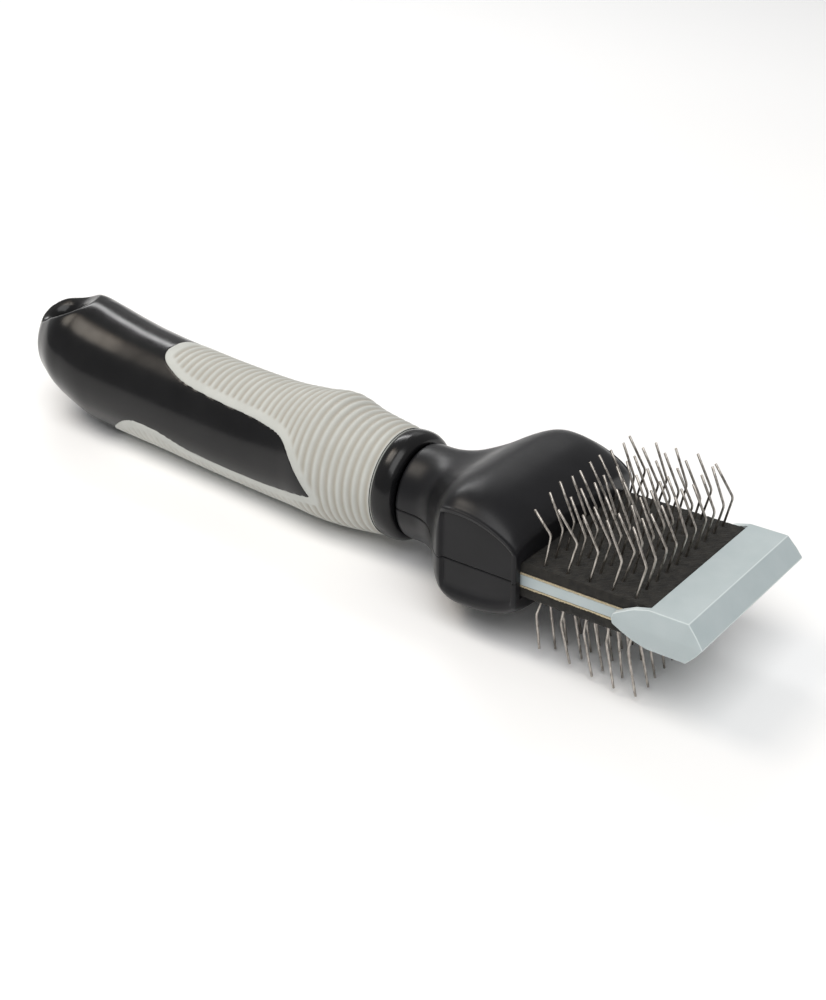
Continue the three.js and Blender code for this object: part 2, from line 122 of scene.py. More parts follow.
SIDE_PLANE = 25.8
HOUSING_WIDTH = [
    (-44.6, 11.5), (-44.4, 11.9), (-44.0, 12.3), (-43.2, 12.5), (-41, 12.6), (-37, 12.9), (-33, 14.6),
    (-30, 17.2), (-27, 20.6), (-24.3, 23.7), (-22, 25.7), (-19.5, 26.9), (-16.5, 27.3), (0, 27.3),
]
HOUSING_HEIGHT = [
    (-44.6, 11.5), (-44.4, 11.9), (-44.0, 12.3), (-43.2, 12.45), (-41, 12.5), (-37, 12.5), (-32, 12.7),
    (-27, 13.4), (-23, 14.8), (-19, 15.8), (-16, 16.0), (-11.5, 15.6), (-8, 14.7), (-5, 13.4), (-2.5, 11.8),
    (0, 9.3),
]
HOUSING_CAMBER = [(-44.6, 0), (-33, 0), (-18, 1.7), (0, 0.6)]
HOUSING_SQUARENESS = [(-44.6, 2), (-39, 2), (-33, 2.5), (-27, 3.6), (-20, 4.5), (0, 4.5)]
EDGE_SHARE = 0.945  # the share of the half-width where the top turns over into the side
FRONT_ROUNDING = 0.7
SIDE_ROUNDING = {1: 0.3, -1: 1.0}
SEAM_HALF = 0.06
SEAM_DEPTH, SEAM_EDGE = 0.22, (0.05, 0.35)
PANEL_RECESS = 0.9
PANEL_EDGE = {1: (0.6, 0.9), -1: (0.4, 3.5)}  # how far from the turn its recess begins and is complete
PANEL_REAR, PANEL_FRONT = (-21.3, -20.6), (-1.0, -1.5)
RIM_HEIGHT, RIM_WIDTH = 0.38, 0.42
RIM_REAR, RIM_FRONT = (-21.8, -20.8), (-0.2, -1.0)
MOUTH = (23.6, 4.75, -5.0)  # half-width, half-height and how deep it goes
PLATE_SLOT = (17.6, 1.7, -20.0)
SCREW_X, SCREW_Y, SCREW_WELL_RADIUS, SCREW_SEAT_Z = -12.0, 11.0, 2.8, -9.65

PAD_HALF_WIDTH = 22.8
PAD_START, PAD_END = -1.6, 32.7
PAD_GRID = 0.3
PAD_EDGE_DROP = 0.25  # the share of its thickness that a pad's edge is rounded down by
PLATE_HALF = 1.4
PLATE_END = 38.0
PLATE_CHAMFER = 0.14
TANG_HALF_WIDTH, TANG_FRONT = 17.0, -2.0
CLOTH_LOW, CLOTH_HIGH = 1.45, 1.95
CUSHION_LOW, CUSHION_HIGH = 2.0, 4.4
CUSHION_GRAIN = 0.05
DIMPLE_DEPTH, DIMPLE_SPREAD = 0.3, 0.7

CLIP_HALF_WIDTH = 25.0
CLIP_CHEEK = 2.0
CLIP_BACK = 32.9
CLIP_DRAFT = 0.12  # how far an end leans in for each mm away from the parting line
CLIP_ROUNDING = 0.5
LARGE_FACE = 15.0  # in mm2: more than any facet of a rounded edge and less than any face of the clip
CLIP_PROFILE = [
    (24.5, 1.3), (26.6, 2.5), (29.4, 3.9), (32.9, 4.9), (42.3, 4.9), (44.6, 2.3), (46.1, 0.2),
]
CLIP_ENDS = (24.2, 46.2)  # where the profile meets the parting line
CLIP_SLOT_END, CLIP_SLOT_PLAY = 38.3, 0.1

PIN_ROWS, PIN_COLUMNS = 5, 10
PIN_FIRST_X, PIN_ROW_PITCH, PIN_COLUMN_PITCH = 4.4, 5.8, 4.55
PIN_RADIUS = 0.3
# For each side: how far the knee and the tip stand towards the blade's tip, and how high over the cushion.
PIN_SHAPE = {
    1: ((2.0, 7.9), (-2.3, 16.4)),
    -1: ((-0.6, 4.8), (2.0, 16.2)),
}
# What is added to that for the worn pins at the near corner by the mouth, and how far the wear reaches.
WORN_CORNER = ((-1.0, -0.7), (-1.6, -4.4))
WORN_REACH = 5.0
KNEE_STRAY, TIP_STRAY = (0.2, 0.2, 0.25), (0.35, 0.4, 0.4)

# ---- numbers --------------------------------------------------------------------------------------------


def curve(table, x):
    """The values at x of a smooth curve through a table of (x, value) points."""
    xs, ys = np.array(table, float).T
    last = len(xs) - 1
    before, after = np.maximum(np.arange(last + 1) - 1, 0), np.minimum(np.arange(last + 1) + 1, last)
    slope = (ys[after] - ys[before]) / (xs[after] - xs[before])
    x = np.asarray(x, float)
    i = np.clip(np.searchsorted(xs, x, side="left") - 1, 0, last - 1)
    span = xs[i + 1] - xs[i]
    t = np.clip((x - xs[i]) / span, 0, 1)
    rise = t * t * (3 - 2 * t)
    bend = t * (1 - t) * span
    return ys[i] * (1 - rise) + ys[i + 1] * rise + bend * (slope[i] * (1 - t) - slope[i + 1] * t)


def ease(low, high, value):
    """0 below low, 1 above high and smooth between them; low may be the larger."""
    t = np.clip((np.asarray(value, float) - low) / (high - low), 0, 1)
    return t * t * (3 - 2 * t)


def soft_limit(value, limit, softness):
    """value, kept below limit with a rounded corner."""
    return (value + limit - np.sqrt((value - limit) ** 2 + softness ** 2)) / 2


def noise_field(seed, *coordinates, waves=14, size=1.0):
    """Smooth noise between about -1 and 1, as a sum of waves in seeded directions."""
    rng = np.random.default_rng(seed)
    total = 0.0
    for _ in range(waves):
        direction = rng.normal(size=len(coordinates))
        direction *= rng.uniform(0.6, 1.6) / (size * np.linalg.norm(direction))
        phase = sum(c * d for c, d in zip(coordinates, direction))
        total = total + np.sin(2 * math.pi * phase + rng.uniform(0, 2 * math.pi))
    return total / math.sqrt(waves)


# ---- meshes ---------------------------------------------------------------------------------------------


def make_object(name, points, faces, material, sharp=None, side=1):
    """An object from points in mm in the head's frame, smooth-shaded up to the angle sharp in degrees.

    A piece drawn on the upper face goes to the lower one where side is -1.
    """
    points = np.asarray(points, float).reshape(-1, 3) * (1, 1, side) * MM
    mesh = bpy.data.meshes.new(name)
    mesh.from_pydata(points.tolist(), [], [list(f) for f in faces])
    mesh.transform(HEAD)
    obj = bpy.data.objects.new(name, mesh)
    bpy.context.scene.collection.objects.link(obj)
    mesh.materials.append(material)
    tidy(obj)
    shade(obj, sharp)
    return obj


def tidy(obj):
    """Merges points that meet, drops faces without area and turns the rest outwards."""
    work = bmesh.new()
    work.from_mesh(obj.data)
    bmesh.ops.remove_doubles(work, verts=work.verts, dist=1e-6)
    bmesh.ops.dissolve_degenerate(work, edges=work.edges, dist=1e-7)
    bmesh.ops.recalc_face_normals(work, faces=work.faces)
    work.to_mesh(obj.data)
    work.free()


def shade(obj, sharp):
    obj.data.polygons.foreach_set("use_smooth", [True] * len(obj.data.polygons))
    if sharp:
        obj.data.set_sharp_from_angle(angle=math.radians(sharp))


def grid_faces(rows, columns, wrap):
    """Quads over a grid of points; wrap closes each row on itself."""
    quads = []
    for row in range(rows - 1):
        for column in range(columns if wrap else columns - 1):
            a, b = row * columns + column, row * columns + (column + 1) % columns
            quads.append((a, b, b + columns, a + columns))
    return quads


def closed_tube(rings):
    """Points and faces of a tube through rings, closed at each end by a fan."""
    rings = np.asarray(rings, float)
    count, around = rings.shape[:2]
    faces = grid_faces(count, around, True)
    points = rings.reshape(-1, 3)
    for end, ring in ((0, 0), (count - 1, (count - 1) * around)):
        centre = len(points)
        points = np.vstack([points, rings[end].mean(0)])
        faces += [(ring + i, ring + (i + 1) % around, centre) for i in range(around)]
    return points, faces


def apply_modifiers(obj):
    """Keeps what the object's modifiers make and removes them."""
    graph = bpy.context.evaluated_depsgraph_get()
    made = bpy.data.meshes.new_from_object(obj.evaluated_get(graph))
    obj.modifiers.clear()
    old, obj.data = obj.data, made
    bpy.data.meshes.remove(old)


def cut(obj, cutter):
    """Cuts a closed cutter out of a closed object and removes the cutter."""
    boolean = obj.modifiers.new("cut", "BOOLEAN")
    boolean.operation = "DIFFERENCE"
    boolean.object = cutter
    boolean.solver = "EXACT"
    bpy.context.view_layer.update()
    apply_modifiers(obj)
    bpy.data.objects.remove(cutter)


def box_cutter(low, high):
    corners = [[x, y, z] for x in (low[0], high[0]) for y in (low[1], high[1]) for z in (low[2], high[2])]
    faces = [(0, 1, 3, 2), (4, 6, 7, 5), (0, 4, 5, 1), (2, 3, 7, 6), (0, 2, 6, 4), (1, 5, 7, 3)]
    return make_object("cutter", corners, faces, MATERIALS["satin_black"])


# ---- materials ------------------------------------------------------------------------------------------


def new_material(name, roughness, metallic=0.0, specular=0.5):
    made = bpy.data.materials.new(name)
    made.use_nodes = True
    shader = made.node_tree.nodes["Principled BSDF"]
    shader.inputs["Roughness"].default_value = roughness
    shader.inputs["Metallic"].default_value = metallic
    shader.inputs["Specular IOR Level"].default_value = specular
    return made, made.node_tree.nodes, made.node_tree.links, shader


def noise_node(nodes, links, size_mm, detail=3.0, stretch=(1, 1, 1)):
    """Noise with features of about size_mm, in the piece's own space; gives its Fac socket."""
    place = nodes.new("ShaderNodeTexCoord")
    mapping = nodes.new("ShaderNodeMapping")
    mapping.inputs["Scale"].default_value = stretch
    texture = nodes.new("ShaderNodeTexNoise")
    texture.inputs["Scale"].default_value = 1.0 / (size_mm * MM)
    texture.inputs["Detail"].default_value = detail
    links.new(place.outputs["Object"], mapping.inputs["Vector"])
    links.new(mapping.outputs["Vector"], texture.inputs["Vector"])
    return texture.outputs["Fac"]


def colour_between(nodes, links, factor, dark, light, low=0.3, high=0.7):
    ramp = nodes.new("ShaderNodeValToRGB")
    ramp.color_ramp.elements[0].position = low
    ramp.color_ramp.elements[0].color = (*dark, 1)
    ramp.color_ramp.elements[1].position = high
    ramp.color_ramp.elements[1].color = (*light, 1)
    links.new(factor, ramp.inputs["Fac"])
    return ramp.outputs["Color"]


def spread(nodes, links, factor, low, high):
    """Maps a noise factor to the range low to high."""
    mapped = nodes.new("ShaderNodeMapRange")
    mapped.inputs["From Min"].default_value = 0.3
    mapped.inputs["From Max"].default_value = 0.7
    mapped.inputs["To Min"].default_value = low
    mapped.inputs["To Max"].default_value = high
    links.new(factor, mapped.inputs["Value"])
    return mapped.outputs["Result"]


def bump(nodes, links, shader, factor, height_mm, strength=1.0):
    """Adds relief of about height_mm over what the shader already has."""
    node = nodes.new("ShaderNodeBump")
    node.inputs["Distance"].default_value = height_mm * MM
    node.inputs["Strength"].default_value = strength
    links.new(factor, node.inputs["Height"])
    if shader.inputs["Normal"].links:
        links.new(shader.inputs["Normal"].links[0].from_socket, node.inputs["Normal"])
    links.new(node.outputs["Normal"], shader.inputs["Normal"])


def mix_by_attribute(nodes, links, shader, face, name, colour):
    """Makes the base colour go from face to colour where the mesh's own attribute goes from 0 to 1."""
    attribute = nodes.new("ShaderNodeAttribute")
    attribute.attribute_name = name
    mix = nodes.new("ShaderNodeMix")
    mix.data_type = "RGBA"
    colours = [socket for socket in mix.inputs if socket.type == "RGBA"]
    colours[1].default_value = (*colour, 1)
    links.new(attribute.outputs["Fac"], mix.inputs["Factor"])
    links.new(face, colours[0])
    links.new([socket for socket in mix.outputs if socket.type == "RGBA"][0], shader.inputs["Base Color"])


def black_plastic(name, colours, roughness, specular, grain_mm, grain_height):
    """Moulded black plastic: slow changes of colour and gloss, a fine moulded grain and slight waviness."""
    made, nodes, links, shader = new_material(name, roughness[0], specular=specular)
    mottle = noise_node(nodes, links, 9.0, 4.0)
    links.new(colour_between(nodes, links, mottle, *colours), shader.inputs["Base Color"])
    gloss = noise_node(nodes, links, 5.0, 5.0)
    links.new(spread(nodes, links, gloss, *roughness), shader.inputs["Roughness"])
    bump(nodes, links, shader, noise_node(nodes, links, grain_mm, 2.0), grain_height, 0.35)
    bump(nodes, links, shader, noise_node(nodes, links, 6.0, 1.0), 0.02, 0.25)
    return made


def soft_grip():
    """Matt elastomer, with painted shade making it a little darker and warmer down in the grooves."""
    made, nodes, links, shader = new_material("soft_grip", 0.62, specular=0.35)
    mottle = noise_node(nodes, links, 7.0, 5.0)
    face = colour_between(nodes, links, mottle, (0.46, 0.47, 0.443), (0.515, 0.525, 0.495))
    # Painted shade: the base colour goes darker and warmer down in the grooves, by the mesh's attribute of their
    # depth.
    mix_by_attribute(nodes, links, shader, face, "groove_and_shade", (0.36, 0.34, 0.295))
    links.new(spread(nodes, links, noise_node(nodes, links, 1.2), 0.55, 0.72), shader.inputs["Roughness"])
    bump(nodes, links, shader, noise_node(nodes, links, 0.16, 2.0), 0.03, 0.5)
    shader.inputs["Sheen Weight"].default_value = 0.12
    shader.inputs["Sheen Roughness"].default_value = 0.5
    return made


def pale_plastic():
    """Pale blue-grey moulded plastic with a fine eroded grain, and a painted highlight that makes it paler along
    its rounded edges.
    """
    made, nodes, links, shader = new_material("pale_plastic", 0.42)
    mottle = noise_node(nodes, links, 6.0, 5.0)
    face = colour_between(nodes, links, mottle, (0.41, 0.472, 0.482), (0.447, 0.505, 0.515))
    # Painted highlight: the colour goes paler on the rounded edges that the edge attribute marks.
    mix_by_attribute(nodes, links, shader, face, "edge", (0.6, 0.655, 0.66))
    links.new(spread(nodes, links, noise_node(nodes, links, 2.5, 4.0), 0.38, 0.5), shader.inputs["Roughness"])
    bump(nodes, links, shader, noise_node(nodes, links, 0.22, 2.0), 0.02, 0.4)
    shader.inputs["Subsurface Weight"].default_value = 0.08
    shader.inputs["Subsurface Radius"].default_value = (0.0008, 0.0009, 0.001)
    return made


def foundation_cloth():
    """Tan laminated cloth, woven, seen on its cut edge."""
    made, nodes, links, shader = new_material("foundation_cloth", 0.9, specular=0.2)
    threads = noise_node(nodes, links, 0.35, 2.0, (1.0, 1.0, 3.0))
    links.new(
        colour_between(nodes, links, threads, (0.33, 0.27, 0.17), (0.62, 0.54, 0.38)),
        shader.inputs["Base Color"],
    )
    bump(nodes, links, shader, threads, 0.12, 0.8)
    return made


def cushion_black():
    """Black foam skin: fine open grain with brown dust in it."""
    made, nodes, links, shader = new_material("cushion_black", 0.82, specular=0.3)
    patches = noise_node(nodes, links, 1.6, 6.0)
    links.new(
        colour_between(nodes, links, patches, (0.007, 0.0067, 0.006), (0.024, 0.022, 0.0185)),
        shader.inputs["Base Color"],
    )
    links.new(spread(nodes, links, noise_node(nodes, links, 0.8), 0.7, 0.92), shader.inputs["Roughness"])
    bump(nodes, links, shader, noise_node(nodes, links, 0.32, 3.0), 0.16, 0.9)
    shader.inputs["Sheen Weight"].default_value = 0.06
    return made


def steel(name, dark, light, roughness, stretch):
    """Drawn or plated steel with fine lines along its length."""
    made, nodes, links, shader = new_material(name, roughness[0], metallic=1.0)
    lines = noise_node(nodes, links, 0.5, 3.0, stretch)
    links.new(colour_between(nodes, links, lines, dark, light), shader.inputs["Base Color"])
    links.new(spread(nodes, links, lines, *roughness), shader.inputs["Roughness"])
    bump(nodes, links, shader, lines, 0.01, 0.3)
    return made


MATERIALS = {
    "gloss_black": black_plastic(
        "gloss_black", ((0.004, 0.004, 0.0045), (0.007, 0.007, 0.0075)), (0.17, 0.24), 0.3, 0.3, 0.006
    ),
    "satin_black": black_plastic(
        "satin_black", ((0.006, 0.006, 0.007), (0.009, 0.009, 0.0105)), (0.29, 0.37), 0.25, 0.25, 0.015
    ),
    "soft_grip": soft_grip(),
    "pale_plastic": pale_plastic(),
    "foundation_cloth": foundation_cloth(),
    "cushion_black": cushion_black(),
    "pin_steel": steel("pin_steel", (0.22, 0.2, 0.177), (0.6, 0.56, 0.515), (0.24, 0.42), (1, 1, 0.25)),
    "screw_steel": steel("screw_steel", (0.42, 0.42, 0.4), (0.62, 0.62, 0.6), (0.25, 0.4), (1, 1, 1)),
}

# ---- handle ---------------------------------------------------------------------------------------------


def handle_radius(x):
    into_end = np.clip((HANDLE_END + HANDLE_END_ROUNDING - x) / HANDLE_END_ROUNDING, 0, 1)
    return curve(HANDLE_RADIUS, x) * np.sqrt(1 - into_end ** 2)


def smooth_path(points, steps):
    """A smooth path through (x, z) points, evenly followed by their distance along it."""
    points = np.array(points, float)
    along = np.concatenate([[0], np.cumsum(np.linalg.norm(np.diff(points, axis=0), axis=1))])
    at = np.linspace(0, along[-1], steps)
    return np.column_stack([curve(list(zip(along, points[:, k])), at) for k in (0, 1)])


def unrolled(path):
    """Turns (x, z) on the handle's side view into (x, distance round the surface from mid-height)."""
    x, z = path.T
    radius = curve(HANDLE_RADIUS, x)
    share = (z - curve(HANDLE_AXIS, x)) / radius
    return np.column_stack([x, radius * np.arcsin(np.clip(share, -1, 1)) + np.where(share > 1, z, 0)])


def distance_to_path(x, v, path):
    """Distance from each point (x, v) to the polyline path."""
    best = np.full(x.shape, 1e9)
    for (ax, av), (bx, bv) in zip(path[:-1], path[1:]):
        dx, dv = bx - ax, bv - av
        t = np.clip(((x - ax) * dx + (v - av) * dv) / max(dx * dx + dv * dv, 1e-12), 0, 1)
        best = np.minimum(best, np.hypot(x - ax - t * dx, v - av - t * dv))
    return best


def inside_path(x, v, loop):
    inside = np.zeros(x.shape, bool)
    for (ax, av), (bx, bv) in zip(loop, np.roll(loop, -1, axis=0)):
        crosses = (av > v) != (bv > v)
        with np.errstate(divide="ignore", invalid="ignore"):
            at = (bx - ax) * (v - av) / (bv - av) + ax
        inside ^= crosses & (x < at)
    return inside


def grip_distance(x, v):
    """How far inside the grip's tongue edges a surface point is, in mm; negative on the bare handle."""
    edge = np.vstack([
        unrolled(smooth_path(GRIP_TOP_EDGE, 120)), unrolled(smooth_path(GRIP_BOTTOM_EDGE, 90))[1:],
    ])
    loop = np.vstack([edge, [(edge[-1, 0], -60), (0, -60), (0, 60), (edge[0, 0], 60)]])
    ends = np.vstack([[(edge[0, 0], 60)], edge, [(edge[-1, 0], -60)]])
    distance = distance_to_path(x, v, ends)
    return np.where(inside_path(x, v, loop), distance, -distance)


def surface_grid(xs, around):
    """Grids of the stations, the angles and the distances round the surface from mid-height."""
    angle = np.linspace(-math.pi / 2, 1.5 * math.pi, around, endpoint=False)
    x, angle = np.meshgrid(xs, angle, indexing="ij")
    v = curve(HANDLE_RADIUS, x) * np.arcsin(np.sin(angle))
    return x, angle, v


def scooped(x, y, z):
    """The height z of the handle's surface, cut down where the slanting scoop opens the hang hole."""
    height, along, across = SCOOP_PLANE
    reach, twist = SCOOP_REAR
    depth, rearward, forward, sideways = SCOOP_FUNNEL
    u, w = x - HANG_HOLE_X, y - HANG_HOLE_SLANT
    funnel = depth * np.exp(-(u / np.where(u < 0, rearward, forward)) ** 2 - (w / sideways) ** 2)
    plane = height - along * soft_limit(-u, reach, 1.0) + (across + twist * ease(2.0, -5.0, u)) * w
    return soft_limit(z, plane - funnel, SCOOP_ROUNDING)


def rear_lip(x, up):
    """How much the handle's end stands up behind the hang hole; up is 1 on top and 0 at mid-height."""
    at, length, rise = REAR_LIP
    return rise * np.exp(-((x - at) / length) ** 2) * np.clip(up, 0, 1) ** 2


def handle_core():
    """The bare handle from its closed end to the collar, lowered where the grip covers it."""
    xs = np.concatenate([
        HANDLE_END + HANDLE_END_ROUNDING * (1 - np.cos(np.linspace(0.03, math.pi / 2, 26))),
        np.arange(HANDLE_END + HANDLE_END_ROUNDING + HANDLE_STEP, HANDLE_RESTART, HANDLE_STEP),
        np.arange(HANDLE_RESTART, GRIP_FRONT, HANDLE_STEP),
    ])
    x, angle, v = surface_grid(xs, HANDLE_AROUND)
    inside = np.minimum(grip_distance(x, v), GRIP_FRONT - x)
    dip = GRIP_DEPTH * ease(*CORE_SINKS, inside)
    radius = handle_radius(x) - dip
    y = radius * np.cos(angle)
    z = curve(HANDLE_AXIS, x) + radius * np.sin(angle) + rear_lip(x, np.sin(angle))
    z = np.where(np.sin(angle) > 0.2, scooped(x, y, z), z)
    body = np.stack([x, y, z], axis=-1)
    turn = angle[0]
    collar = [
        np.column_stack([np.full_like(turn, at), r * np.cos(turn), COLLAR_AXIS + r * np.sin(turn)])
        for at, r in COLLAR
    ]
    points, faces = closed_tube(np.concatenate([body, collar]))
    core = make_object("handle_shell", points, faces, MATERIALS["gloss_black"])
    cut(core, hang_hole_cutter())
    shade(core, 40)
    return core


def hang_hole_cutter():
    """A slanting trumpet-ended bar that leaves a rounded rim on both faces of the handle."""
    turn = np.linspace(0, 2 * math.pi, 48, endpoint=False)
    flare = [
        (-3.0, 3.6), (-1.0, 2.5), (0.0, 1.75), (0.15, 1.25), (0.4, 0.85), (0.8, 0.5), (1.3, 0.2), (2.2, 0.0),
    ]
    rings = []
    for side in (1, -1):
        middle = HANG_HOLE_SLANT if side > 0 else 0.0
        for depth, extra in flare if side > 0 else reversed(flare):
            r = HANG_HOLE_RADIUS + extra
            x, y = HANG_HOLE_X + r * np.cos(turn), middle + r * np.sin(turn)
            half = np.sqrt(np.maximum(handle_radius(x) ** 2 - y ** 2, 1))
            face = curve(HANDLE_AXIS, x) + side * half
            if side > 0:
                face = scooped(x, y, face + rear_lip(x, half / handle_radius(x)))
            rings.append(np.column_stack([x, y, face - side * depth]))
    return make_object("cutter", *closed_tube(rings), MATERIALS["gloss_black"])


def grip():
    """The ribbed overmould: a sleeve cut to the tongues' outline; its attribute of the grooves' depth carries the
    painted shade in them.
    """
    xs = np.arange(GRIP_REAR, GRIP_FRONT + GRIP_STEP + 0.05, GRIP_STEP)
    x, angle, v = surface_grid(xs, GRIP_AROUND)
    edge = grip_distance(x, v)
    inside = np.minimum(edge, GRIP_FRONT - x)
    dip = GRIP_DEPTH * ease(*GRIP_SINKS, inside) - GRIP_PROUD * ease(*GRIP_RISES, inside)
    wave = 0.5 - 0.5 * np.cos(2 * math.pi * (x - GRIP_FRONT) / RIB_PITCH)
    under = UNDERSIDE_RIBS + (1 - UNDERSIDE_RIBS) * ease(*UNDERSIDE_FRONT, x)
    groove_and_shade = wave ** RIB_SHARPNESS * ease(*RIB_MARGIN, edge) * np.where(v < 0, under, 1)
    radius = curve(HANDLE_RADIUS, x) - dip - RIB_DEPTH * groove_and_shade
    points = np.stack([
        x, radius * np.cos(angle), curve(HANDLE_AXIS, x) + radius * np.sin(angle),
    ], axis=-1)
    keep = inside.ravel() > -GRIP_TUCK
    quads = [f for f in grid_faces(len(xs), GRIP_AROUND, True) if any(keep[i] for i in f)]
    used = np.unique(np.array(quads))
    renumber = {old: new for new, old in enumerate(used)}
    quads = [tuple(renumber[i] for i in f) for f in quads]
    sleeve = make_object("grip_skin", points.reshape(-1, 3)[used], quads, MATERIALS["soft_grip"])
    # The depth of the grooves is kept on the mesh for the painted shade in them.
    attribute = sleeve.data.attributes.new("groove_and_shade", "FLOAT", "POINT")
    attribute.data.foreach_set("value", groove_and_shade.ravel()[used])
    wall = sleeve.modifiers.new("wall", "SOLIDIFY")
    wall.thickness = GRIP_WALL * MM
    wall.offset = -1
    apply_modifiers(sleeve)
    shade(sleeve, 60)
    return sleeve


# ---- housing --------------------------------------------------------------------------------------------


def housing_section(x, side):
    """One shell's outer section at x, from the +y seam over the top (or bottom) to the -y seam."""
    inset = FRONT_ROUNDING * (1 - math.sqrt(1 - max(0.0, (x + FRONT_ROUNDING) / FRONT_ROUNDING) ** 2))
    width = float(curve(HOUSING_WIDTH, x)) - inset
    height = float(curve(HOUSING_HEIGHT, x)) - inset
    middle = float(curve(HOUSING_CAMBER, x)) * side
    power = float(curve(HOUSING_SQUARENESS, x))
    turn_y = EDGE_SHARE * width
    turn_z = middle + height * (1 - EDGE_SHARE ** power) ** (1 / power)
    up = np.concatenate([
        SEAM_HALF + (0.5 - SEAM_HALF) * np.linspace(0, 1, 6) ** 1.5,
        np.linspace(0.5, turn_z - 2.4, 14)[1:], np.linspace(turn_z - 2.4, turn_z, 26)[1:],
    ])
    side_y = width * np.maximum(1 - (np.abs(up - middle) / height) ** power, 0) ** (1 / power)
    over = turn_y * np.sin(np.linspace(math.pi / 2, 0, 44)[1:])
    over_z = middle + height * (1 - (over / width) ** power) ** (1 / power)
    y = soft_limit(np.concatenate([side_y, over]), SIDE_PLANE - inset, SIDE_ROUNDING[side])
    z = np.concatenate([up, over_z])
    below = np.concatenate([turn_z - up, over - turn_y])
    y -= panel_recess(x, below, side) * (below >= 0)
    y -= SEAM_DEPTH * (1 - ease(*SEAM_EDGE, z))
    if side > 0:
        bead = rim_bead(x, below)
        y += bead
        z += bead
    y = np.concatenate([y, -y[-2::-1]])
    z = np.concatenate([z, z[-2::-1]])
    return np.column_stack([np.full_like(y, x), y, z * side])


def panel_recess(x, below, side):
    """Depth of the flat side panel; below is the depth under the turn from the top into the side."""
    return PANEL_RECESS * ease(*PANEL_EDGE[side], below) * ease(*PANEL_FRONT, x) * ease(*PANEL_REAR, x)


def rim_bead(x, below):
    """How far the bead over the side panel stands out and up; below is as for panel_recess."""
    return RIM_HEIGHT * np.exp(-(below / RIM_WIDTH) ** 2) * ease(*RIM_REAR, x) * ease(*RIM_FRONT, x)


def housing_inner(section, x, side):
    """The inside of the shell's section: the mouth, then the slot for the plate, then solid."""
    for half_width, half_height, back in (MOUTH, PLATE_SLOT):
        if x >= back:
            break
    else:
        half_width, half_height = 0.4, SEAM_HALF
    inner = section.copy()
    inner[:, 1] = np.clip(section[:, 1], -half_width, half_width)
    inner[:, 2] = side * np.clip(section[:, 2] * side, SEAM_HALF, half_height)
    return inner


def housing_shell(name, side):
    """One half of the housing, hollow for the blade; the stations double where its inside steps."""
    steps = [depth - gap for _, _, depth in (MOUTH, PLATE_SLOT) for gap in (0, 0.001)]
    xs = np.concatenate([
        [-44.6, -44.5, -44.4, -44.3, -44.15, -44.0, -43.7, -43.2, -42.6, -41.9], np.arange(-41, -22, 0.75),
        np.arange(-22, -17, 0.15), np.arange(-17, -3, 0.6), np.arange(-3, -1, 0.18), [-0.85],
        -FRONT_ROUNDING * np.cos(np.linspace(0.4, math.pi / 2, 8)), steps,
    ])
    xs = np.unique(np.round(xs, 4))
    outer = [housing_section(x, side) for x in xs]
    count = len(outer[0])
    rings = [
        np.vstack([section, housing_inner(section, x, side)[::-1]]) for section, x in zip(outer, xs)
    ]
    around = 2 * count
    faces = grid_faces(len(rings), around, True)
    for base in (0, (len(rings) - 1) * around):
        faces += [
            (base + i, base + i + 1, base + around - 2 - i, base + around - 1 - i) for i in range(count - 1)
        ]
    shell = make_object(name, np.concatenate(rings), faces, MATERIALS["satin_black"], 38)
    if side < 0:
        for y in (-SCREW_Y, SCREW_Y):
            cut(shell, round_cutter(SCREW_X, y, SCREW_WELL_RADIUS, -30, SCREW_SEAT_Z))
        shade(shell, 38)
    return shell


def round_cutter(x, y, radius, low, high):
    turn = np.linspace(0, 2 * math.pi, 40, endpoint=False)
    rings = [
        np.column_stack([x + radius * np.cos(turn), y + radius * np.sin(turn), np.full_like(turn, z)])
        for z in (low, high)
    ]
    return make_object("cutter", *closed_tube(rings), MATERIALS["satin_black"])


# ---- blade ----------------------------------------------------------------------------------------------


def slab(name, material, low, high, side, relief):
    """A flat layer with fine faces; relief(x, y) gives offsets for its top, and its edge wander."""
    xs = np.linspace(PAD_START, PAD_END, int((PAD_END - PAD_START) / PAD_GRID) + 1)
    ys = np.linspace(-PAD_HALF_WIDTH, PAD_HALF_WIDTH, int(2 * PAD_HALF_WIDTH / PAD_GRID) + 1)
    x, y = np.meshgrid(xs, ys, indexing="ij")
    rise, wander = relief(x, y)
    rim = np.maximum(np.abs(y) - PAD_HALF_WIDTH + PAD_GRID, 0) / PAD_GRID
    rim_end = np.maximum(np.maximum(PAD_START - x, x - PAD_END) + PAD_GRID, 0) / PAD_GRID
    top = np.stack([x, y + np.sign(y) * wander * rim, high + rise], axis=-1)
    bottom = np.stack([x, y + np.sign(y) * wander * rim * 0.6, np.full_like(x, low)], axis=-1)
    top[..., 2] -= PAD_EDGE_DROP * (high - low) * np.clip(rim + rim_end, 0, 1)
    rows, columns = x.shape
    faces = grid_faces(rows, columns, False)
    count = rows * columns
    faces += [tuple(count + i for i in reversed(f)) for f in grid_faces(rows, columns, False)]
    border = (
        [c for c in range(columns)] + [r * columns + columns - 1 for r in range(1, rows)]
        + [(rows - 1) * columns + c for c in range(columns - 2, -1, -1)]
        + [r * columns for r in range(rows - 2, 0, -1)]
    )
    for a, b in zip(border, border[1:] + border[:1]):
        faces.append((a, b, count + b, count + a))
    points = np.concatenate([top.reshape(-1, 3), bottom.reshape(-1, 3)])
    return make_object(name, points, faces, material, 50, side)


def pin_base(row, column):
    return PIN_FIRST_X + row * PIN_ROW_PITCH, (column - (PIN_COLUMNS - 1) / 2) * PIN_COLUMN_PITCH


